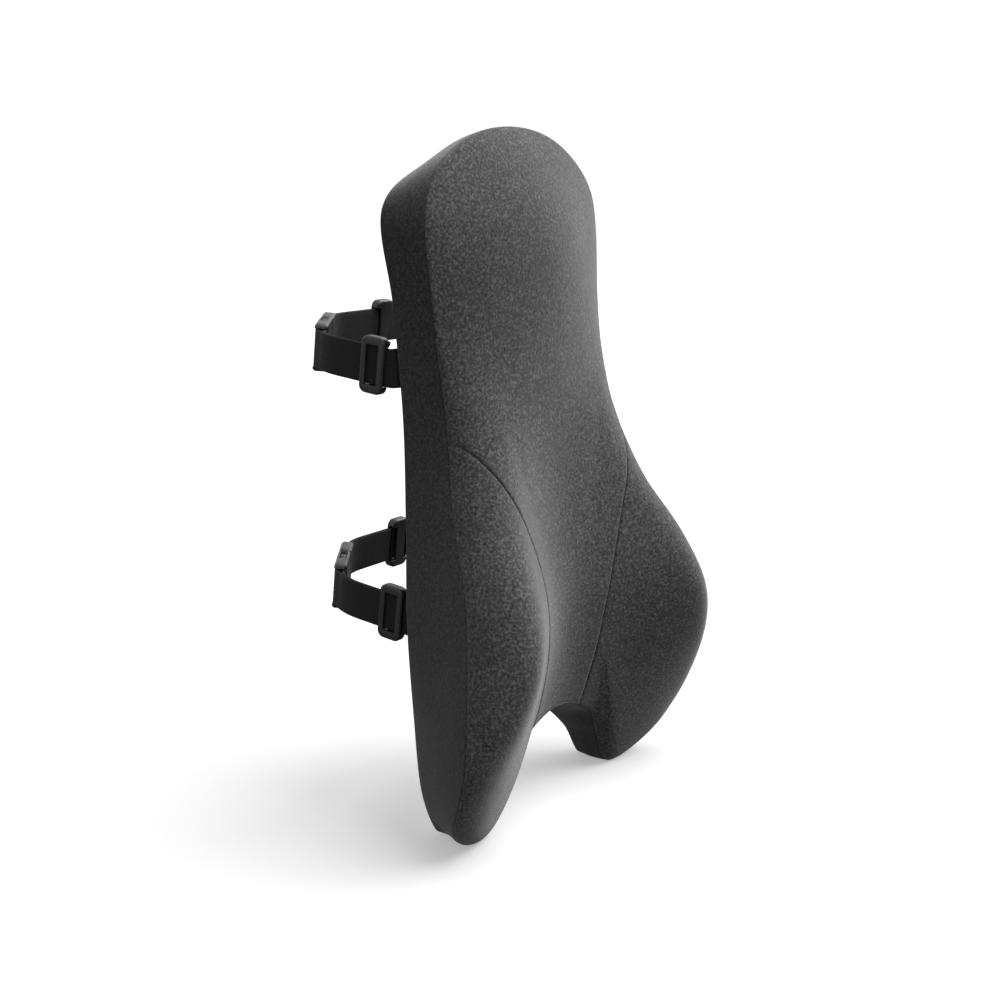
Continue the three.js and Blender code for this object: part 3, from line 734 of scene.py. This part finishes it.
def front_panels(puff):
    points, faces = skin(FRONT_ROWS)
    points, faces = with_pole(points, faces, AROUND, FRONT_POLE, False)
    points = undulate(points + puff(points), faces)
    mesh = to_bmesh(points, faces)
    fixed = set()
    for level in WING_SEAM_LEVELS:
        cut_along(mesh, lambda p, level=level: wing_field(p) - level, fixed)
    points, faces, centres = from_bmesh(mesh)
    region = wing_field(centres)
    centre = [f for f, r in zip(faces, region) if r < 0]
    left = [f for f, r, c in zip(faces, region, centres) if r >= 0 and c[0] < 0]
    right = [f for f, r, c in zip(faces, region, centres) if r >= 0 and c[0] > 0]
    cover_panel("front_centre", points, centre, KNIT, "knit", "cover_centre_panel")
    cover_panel("front_wing_left", points, left, KNIT, "knit", "cover_wing_left")
    cover_panel("front_wing_right", points, right, KNIT, "knit", "cover_wing_right")


def side_panel(puff):
    points, faces = skin(SIDE_ROWS)
    points = undulate(points + puff(points), faces)
    cover_panel("side_gusset", points, faces, GUSSET, "gusset_knit", "cover_side_gusset")


def back_panels(puff):
    points, faces = skin(BACK_ROWS)
    points, faces = with_pole(points, faces, AROUND, BACK_POLE, True)
    # the pull slides down over the middle, which stays flat
    loose = np.clip((np.abs(points[:, 0]) - SLOT_HALF_WIDTH - 3) / 20, 0, 1)
    points = points + puff(points) * (0.5 * loose)[:, None]
    mesh = to_bmesh(points, faces)
    for offset in BACK_SEAM_LEVELS:
        planes = [((side * (SLOT_HALF_WIDTH + offset), 0, 0), (1, 0, 0)) for side in (-1, 1)]
        planes += [((side * offset, 0, 0), (1, 0, 0)) for side in (-1, 1)]
        planes += [((0, 0, ZIP_TOP + offset), (0, 0, 1)), ((0, 0, ZIP_BOTTOM - offset), (0, 0, 1))]
        for place, normal in planes:
            everything = mesh.verts[:] + mesh.edges[:] + mesh.faces[:]
            bmesh.ops.bisect_plane(mesh, geom=everything, dist=0.1, plane_co=place, plane_no=normal)
    points, faces, centres = from_bmesh(mesh)
    beside_zip = (centres[:, 2] > ZIP_BOTTOM) & (centres[:, 2] < ZIP_TOP)
    in_slot = beside_zip & (np.abs(centres[:, 0]) < SLOT_HALF_WIDTH)
    for name, side in (("left", -1), ("right", 1)):
        half = [f for f, c, open_ in zip(faces, centres, in_slot) if c[0] * side > 0 and not open_]
        cover_panel(f"back_{name}", points, half, GUSSET, "gusset_knit", f"cover_back_{name}")


def foam_block():
    """The moulded core, hidden in the cover. It has no seams."""
    points, faces = skin(BACK_ROWS + SIDE_ROWS[1:-1] + FRONT_ROWS, CORE_INSET)
    points, faces = with_pole(points, faces, AROUND, FRONT_POLE + [[0, CORE_INSET, 0]], False)
    points, faces = with_pole(points, faces, AROUND, BACK_POLE - [[0, CORE_INSET, 0]], True)
    block = mesh_object("foam_block", points, faces, FOAM)
    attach(block, "cushion")
    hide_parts("foam_core")


# ---- webbing ----

def line(a, b, step=2.0):
    a, b = np.array(a, float), np.array(b, float)
    count = max(2, int(np.linalg.norm(b - a) / step))
    return [a + (b - a) * k / count for k in range(count + 1)]


def bezier(a, b, c, d=None, count=14):
    """A quadratic curve, or a cubic one when there are four points."""
    points = [np.array(p, float) for p in (a, b, c, d) if p is not None]
    curve = []
    for t in np.linspace(0, 1, count + 1):
        row = points
        while len(row) > 1:
            row = [p + (q - p) * t for p, q in zip(row[:-1], row[1:])]
        curve.append(row[0])
    return curve


def chained(*stretches):
    path = list(stretches[0])
    for stretch in stretches[1:]:
        joined = np.linalg.norm(stretch[0] - path[-1]) < 1e-6
        path += list(stretch[1:] if joined else stretch)
    return np.array(path)


def sideways(path):
    """Unit vectors to the left of a flat path, at each of its points."""
    along = np.gradient(path, axis=0)
    along /= np.linalg.norm(along, axis=1, keepdims=True)
    return np.stack([-along[:, 1], along[:, 0]], axis=1)


def smoothstep(t):
    t = np.clip(t, 0, 1)
    return t * t * (3 - 2 * t)


def spread(path, parting, sign):
    """How far one ply lies from the middle line: close to the other ply, but wide round the bar."""
    lengths = np.linalg.norm(np.diff(path, axis=0), axis=1)
    to_bar = np.concatenate([np.cumsum(lengths[::-1])[::-1], [0]])
    near = (PLY_GAP + PLY) / 2
    far = BAR_RADIUS + BAR_CLEARANCE + PLY / 2
    return sign * (near + (far - near) * smoothstep(1 - to_bar / parting))


def round_bar(centre, start, sign):
    """Half a turn of webbing round a bar, from the direction start."""
    radius = BAR_RADIUS + BAR_CLEARANCE + PLY / 2
    first = math.atan2(start[1], start[0])
    return [centre + radius * np.array([math.cos(first - sign * a), math.sin(first - sign * a)])
            for a in np.linspace(0, math.pi, 15)]


def doubled_path(path, sign, tail):
    """Out along a path beside its middle line, round the bar at its end, and back on the other side."""
    left = sideways(path)
    out = path + left * spread(path, PARTING, sign)[:, None]
    back = path + left * spread(path, PARTING, -sign)[:, None]
    turn = round_bar(path[-1], left[-1] * sign, sign)
    return chained(list(out), turn[1:-1], list(back[::-1][: len(back) - tail]))


def tilt_at(y):
    """The loop's tilt, which comes in between the sewn end and the free webbing."""
    return LOOP_TILT * smoothstep((y - 2.0) / 8.0)


def tilted(x, y, z, height):
    """Loop coordinates to the part's frame."""
    angle = tilt_at(y)
    return np.stack([x, HINGE_Y + (y - HINGE_Y) * np.cos(angle) - z * np.sin(angle),
                     height + (y - HINGE_Y) * np.sin(angle) + z * np.cos(angle)], axis=-1)


def web_section():
    """Outline of the band's cross section: across its width and through it."""
    half_width, half = WEB_WIDTH / 2, PLY / 2
    round_half = half * 0.85
    section = []
    flat = np.linspace(half_width - round_half, -half_width + round_half, 8)[1:-1]
    for centre, start in ((half_width - round_half, -90), (-half_width + round_half, 90)):
        for angle in np.radians(np.linspace(start, start + 180, 7)):
            section.append((centre + round_half * math.cos(angle), half * math.sin(angle)))
        if start < 0:
            section += [(v, half) for v in flat]
        else:
            section += [(-v, -half) for v in flat]
    return np.array(section)


def band(name, path, height, start_length=0.0):
    """A piece of webbing along a flat path round a loop, closed at both ends."""
    section = web_section()
    left = sideways(path)
    lengths = np.concatenate([[0], np.cumsum(np.linalg.norm(np.diff(path, axis=0), axis=1))]) + start_length
    points, uv = [], []
    for i in range(len(path)):
        ripple = 1 + EDGE_RIPPLE * math.sin(lengths[i] * 0.9)
        for across, through in section:
            place = path[i] + left[i] * through
            points.append(tilted(place[0], place[1], across * ripple, height))
            uv.append((lengths[i] * MM, (across + (30 if through < 0 else 0)) * MM))
    faces = [tuple(reversed(face)) for face in tube_faces(len(path), len(section))]
    return mesh_object(name, points, faces, WEBBING, uv)


def left_doubled():
    """Middle line of the left doubled webbing, from its adjuster to the bar of the socket."""
    bend_y = 46
    corner = BUCKLE_BAR - ALONG_BUCKLE * (BUCKLE_BAR[0] + STRAP_X) / ALONG_BUCKLE[0]
    return chained(line((-STRAP_X, LEFT_GLIDE_Y), (-STRAP_X, bend_y)),
                   bezier((-STRAP_X, bend_y), corner, BUCKLE_BAR))


def right_doubled():
    """Middle line of the right doubled webbing, from its adjuster to the bar of the plug."""
    corner = PLUG_BAR + ALONG_BUCKLE * (LOOP_BACK_Y - PLUG_BAR[1]) / ALONG_BUCKLE[1]
    bend_x = corner[0] + 14
    return chained(line((RIGHT_GLIDE_X, LOOP_BACK_Y), (bend_x, LOOP_BACK_Y)),
                   bezier((bend_x, LOOP_BACK_Y), corner, PLUG_BAR))


def sewn_end(side):
    """From the flat sewn end out round the bend, to where the free webbing starts."""
    bend, y = 5, SEWN_GAP + PLY / 2
    return chained(line((side * (STRAP_X - 32), y), (side * (STRAP_X - bend), y)),
                   bezier((side * (STRAP_X - bend), y), (side * STRAP_X, y), (side * STRAP_X, HINGE_Y),
                          count=10),
                   line((side * STRAP_X, HINGE_Y), (side * STRAP_X, FREE_Y), 1.0))


def strap_left(level, height):
    """One length of webbing: sewn end, adjuster, buckle bar, and back to the adjuster."""
    near = (PLY + PLY_GAP) / 2
    path = chained(sewn_end(-1)[:-1],
                   bezier((-STRAP_X, FREE_Y), (-STRAP_X, 17), (-STRAP_X - near, 17), (-STRAP_X - near, 21)),
                   doubled_path(left_doubled()[1:], 1, 2))
    strap = band(f"{level}_strap_left", path, height)
    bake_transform(strap)
    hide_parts(f"{level}_webbing_left", f"{level}_webbing_end_left")


def strap_right(level, height):
    """The other length, in two pieces: one from the sewn end to where they meet, one from there round the
    loop and its adjuster to the plug's bar.
    """
    root_path = chained(sewn_end(1)[:-1], line((STRAP_X, FREE_Y), (STRAP_X, SPLIT_Y)))
    root = band(f"{level}_strap_right_root", root_path, height)
    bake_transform(root)
    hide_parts(f"{level}_webbing_end_right")

    near = (PLY + PLY_GAP) / 2
    inner = RIGHT_GLIDE_X + 1
    bend_x = 52
    path = chained(bezier((STRAP_X, SPLIT_Y), (STRAP_X, 90), (88, LOOP_BACK_Y), (bend_x, LOOP_BACK_Y),
                          count=26),
                   line((bend_x, LOOP_BACK_Y), (inner + 9, LOOP_BACK_Y)),
                   bezier((inner + 9, LOOP_BACK_Y), (inner + 4, LOOP_BACK_Y), (inner + 5, LOOP_BACK_Y + near),
                          (inner, LOOP_BACK_Y + near), count=8),
                   doubled_path(right_doubled()[1:], -1, 2))
    root_length = np.linalg.norm(np.diff(root_path, axis=0), axis=1).sum()
    strap = band(f"{level}_strap_right", path, height, root_length)
    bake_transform(strap)
    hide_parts(f"{level}_webbing_right")


def stitch_line(a, b, pitch=2.6, length=2.0):
    """Middles and directions of stitches from a to b, x and z."""
    a, b = np.array(a, float), np.array(b, float)
    count = max(1, round(np.linalg.norm(b - a) / pitch))
    along = (b - a) / np.linalg.norm(b - a)
    return [(a + (b - a) * (k + 0.5) / count, along * length / 2) for k in range(count)]


def capsule(a, b, out, radius):
    """A short thread from a to b, bowed outwards. Returns points and faces."""
    along = (b - a) / np.linalg.norm(b - a)
    side = np.cross(along, out)
    points = []
    sides = 6
    for t, width in ((0, 0.35), (0.2, 0.85), (0.5, 1), (0.8, 0.85), (1, 0.35)):
        centre = a + (b - a) * t + out * (radius * 1.1 * math.sin(math.pi * t) - radius * 0.6)
        for k in range(sides):
            angle = 2 * math.pi * k / sides
            points.append(centre + (side * math.cos(angle) + out * math.sin(angle)) * radius * width)
    return points, tube_faces(5, sides)


def box_stitches(level, height, name, side):
    """The sewn end is held by a box of stitches with a cross in it."""
    x0, x1 = side * (STRAP_X - 29.5), side * (STRAP_X - 9)   # the box's inner and outer end
    half = WEB_WIDTH / 2 - 2.5
    thread_radius = 0.28
    corners = [(x0, -half), (x1, -half), (x1, half), (x0, half)]
    stitches = []
    for a, b in zip(corners, corners[1:] + corners[:1]):
        stitches += stitch_line(a, b)
    stitches += stitch_line(corners[0], corners[2]) + stitch_line(corners[1], corners[3])
    face_y = SEWN_GAP + PLY
    points, faces = [], []
    for (x, z), (dx, dz) in stitches:
        a = np.array([x - dx, face_y, height + z - dz])
        b = np.array([x + dx, face_y, height + z + dz])
        more, more_faces = capsule(a, b, np.array([0.0, 1.0, 0.0]), thread_radius)
        faces += [tuple(index + len(points) for index in face) for face in more_faces]
        points += more
    uv = [(p[0] * MM, p[2] * MM) for p in points]
    sewing = mesh_object(f"{level}_stitches_{name}", points, faces, THREAD, uv)
    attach(sewing, "cushion")


# ---- the zip ----

def coil_half(name, side):
    """One side of the coil: a flat helix whose loops sit between those of the other side."""
    bottom, top = ZIP_BOTTOM + 6, ZIP_TOP - 6
    pitch, wire, steps, sides = 1.45, 0.3, 12, 6
    turns = int((top - bottom) / pitch)
    centre = np.array([side * 1.3, -1.3])
    half_x, half_y = 0.85, 0.36
    count = turns * steps + 1
    angle = np.arange(count) * 2 * math.pi / steps
    path = np.stack([centre[0] + side * half_x * np.cos(angle), centre[1] + half_y * np.sin(angle),
                     bottom + (0.5 if side > 0 else 0) * pitch + np.arange(count) * pitch / steps], axis=1)
    along = np.gradient(path, axis=0)
    along /= np.linalg.norm(along, axis=1, keepdims=True)
    up = np.array([0.0, 0.0, 1.0])
    first = np.cross(along, up)
    first /= np.linalg.norm(first, axis=1, keepdims=True)
    second = np.cross(along, first)
    points = []
    for p, a, b in zip(path, first, second):
        for k in range(sides):
            turn = 2 * math.pi * k / sides
            points.append(p + wire * (a * math.cos(turn) + b * math.sin(turn)))
    coil = mesh_object(f"zip_teeth_{name}", points, tube_faces(count, sides), COIL)
    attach(coil, "cushion")
    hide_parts(f"zip_coil_{name}")


def tape_half(name, side):
    """The woven tape: flat beside the coil, tucked under the back panel."""
    profile = [(1.2, -2.05), (2.6, -2.05), (3.2, -1.35), (4.2, -1.15), (7, -1.1), (10, -1.25), (12, -1.75),
               (14, -2.35), (18, -2.6)]
    heights = np.linspace(ZIP_BOTTOM + 0.6, ZIP_TOP - 0.6, 120)
    points, uv = [], []
    for z in heights:
        for x, y in profile:
            wave = 0.06 * math.sin(z * 0.21 + x)
            points.append((side * x, y + wave, z))
            uv.append((z * MM, x * MM))
    points = np.array(points, float)
    faces = grid_faces(len(heights), len(profile), closed=False)
    if vertex_normals(points, faces)[0][1] < 0:
        faces = [tuple(reversed(face)) for face in faces]
    thickness = 0.45
    solid_points, solid_faces = shell(points, faces, thickness)
    tape = mesh_object(f"zip_band_{name}", solid_points, solid_faces, TAPE, uv + uv)
    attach(tape, "cushion")
    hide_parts(f"zip_tape_{name}")


# ---- hard parts ----

def moulded(node, body, material_used, bevel):
    """A hard part of the model with its edges rounded as a mould leaves them."""
    source = frame["nodes"][node].data
    mesh = bmesh.new()
    mesh.from_mesh(source)
    bmesh.ops.remove_doubles(mesh, verts=mesh.verts[:], dist=0.01 * MM)
    bmesh.ops.dissolve_limit(mesh, angle_limit=math.radians(1.5), verts=mesh.verts[:], edges=mesh.edges[:])
    data = bpy.data.meshes.new(f"{node}_moulded")
    mesh.to_mesh(data)
    mesh.free()
    data.materials.clear()
    data.materials.append(material_used)
    data.polygons.foreach_set("use_smooth", [True] * len(data.polygons))
    made = bpy.data.objects.new(f"{node}_moulded", data)
    bpy.context.scene.collection.objects.link(made)
    edge = made.modifiers.new("edges", "BEVEL")
    edge.width = bevel * MM
    edge.segments = 3
    edge.limit_method = "ANGLE"
    edge.angle_limit = math.radians(28)
    edge.harden_normals = True
    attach(made, body)
    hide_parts(node)


# ---- build ----

def build_cover():
    puff = make_puff()
    front_panels(puff)
    side_panel(puff)
    back_panels(puff)
    foam_block()


def build_zip():
    for name, side in (("left", -1), ("right", 1)):
        coil_half(name, side)
        tape_half(name, side)
    moulded("zip_stop_top", "cushion", METAL, 0.3)
    moulded("zip_stop_bottom", "cushion", METAL, 0.3)
    moulded("zip_slider", "zip_slider", METAL, 0.18)
    moulded("zip_pull", "zip_pull", METAL, 0.3)


def build_loop(level, height):
    strap_left(level, height)
    strap_right(level, height)
    box_stitches(level, height, "left", -1)
    box_stitches(level, height, "right", 1)
    moulded(f"{level}_buckle_socket", f"{level}_loop", PLASTIC, 0.5)
    moulded(f"{level}_buckle_plug", f"{level}_plug", PLASTIC, 0.5)
    for part in ("prong_top", "prong_bottom", "glide_left", "glide_right"):
        moulded(f"{level}_{part}", f"{level}_{part}", PLASTIC, 0.4)


# ---- setting, light and camera ----

def studio_floor():
    floor_material, tree, shader = material("floor", 0.85)
    place = coordinates(tree)
    tone = noise_value(tree, place, 2.0, detail=2)
    tree.links.new(ramp(tree, tone, (0.0, grey(0.86)), (1.0, grey(0.89))), shader.inputs["Base Color"])
    shader.inputs["Emission Color"].default_value = (1, 1, 1, 1)
    shader.inputs["Emission Strength"].default_value = 0.36
    # the floor throws little light back on the object
    bounce = tree.nodes.new("ShaderNodeBsdfDiffuse")
    bounce.inputs["Color"].default_value = (0.22, 0.22, 0.22, 1)
    rays = tree.nodes.new("ShaderNodeLightPath")
    mix = tree.nodes.new("ShaderNodeMixShader")
    tree.links.new(rays.outputs["Is Camera Ray"], mix.inputs[0])
    tree.links.new(bounce.outputs[0], mix.inputs[1])
    tree.links.new(shader.outputs[0], mix.inputs[2])
    tree.links.new(mix.outputs[0], tree.nodes["Material Output"].inputs["Surface"])
    reach = 30000.0   # mm
    corners = [(-reach, -reach, 0), (reach, -reach, 0), (reach, reach, 0), (-reach, reach, 0)]
    floor = mesh_object("floor", corners, [(0, 1, 2, 3)], floor_material)
    return floor


def studio_world():
    world = bpy.data.worlds.new("studio")
    world.use_nodes = True
    bpy.context.scene.world = world
    tree = world.node_tree
    background = tree.nodes["Background"]
    rays = tree.nodes.new("ShaderNodeLightPath")
    seen = math_node(tree, "MULTIPLY", rays.outputs["Is Camera Ray"], 0.8)
    mirrored = math_node(tree, "MULTIPLY", rays.outputs["Is Glossy Ray"], 0.7)
    strength = math_node(tree, "ADD", math_node(tree, "ADD", seen, mirrored), 0.25)
    tree.links.new(strength, background.inputs["Strength"])
    background.inputs["Color"].default_value = (1, 1, 1, 1)


def sun_light(name, towards, energy, spread_degrees):
    """A distant softbox: towards points from the object to it."""
    sun = bpy.data.lights.new(name, "SUN")
    sun.energy = energy
    sun.angle = math.radians(spread_degrees)
    made = bpy.data.objects.new(name, sun)
    bpy.context.scene.collection.objects.link(made)
    made.rotation_euler = Vector(towards).to_track_quat("Z", "Y").to_euler()
    return made


def lights(floor):
    """One softbox overhead in front, and a lower one on the right that is flagged off the floor."""
    sun_light("overhead", (0.36, -0.62, 1.15), 2.6, 56)
    side = sun_light("side", (0.9, -0.2, 0.75), 2.1, 45)
    lit = bpy.data.collections.new("lit_from_the_side")
    for made in bpy.context.scene.objects:
        if made.type == "MESH" and made != floor:
            lit.objects.link(made)
    side.light_linking.receiver_collection = lit


def camera():
    azimuth, elevation, roll = math.radians(-54.6), math.radians(10.0), math.radians(-3.5)
    distance, right_shift, up_shift = 1.0503, -0.0041, 0.019
    target = Vector(frame_point(0, 0, 230))
    back = Vector((math.sin(azimuth) * math.cos(elevation), -math.cos(azimuth) * math.cos(elevation),
                   math.sin(elevation)))
    right = Vector((math.cos(azimuth), math.sin(azimuth), 0))
    up = back.cross(right)
    tilted_right = right * math.cos(roll) + up * math.sin(roll)
    tilted_up = up * math.cos(roll) - right * math.sin(roll)
    lens = bpy.data.cameras.new("camera")
    lens.sensor_width = 36
    lens.lens = 54.9
    lens.clip_end = 100
    made = bpy.data.objects.new("camera", lens)
    bpy.context.scene.collection.objects.link(made)
    place = target + back * distance - tilted_right * right_shift - tilted_up * up_shift
    axes = Matrix((tilted_right, tilted_up, back)).transposed()
    made.matrix_world = Matrix.Translation(place) @ axes.to_4x4()
    bpy.context.scene.camera = made
    bpy.context.scene.view_settings.view_transform = "Standard"


build_cover()
build_zip()
for strap_level, strap_height in STRAP_HEIGHTS.items():
    build_loop(strap_level, strap_height)
studio_world()
lights(studio_floor())
camera()
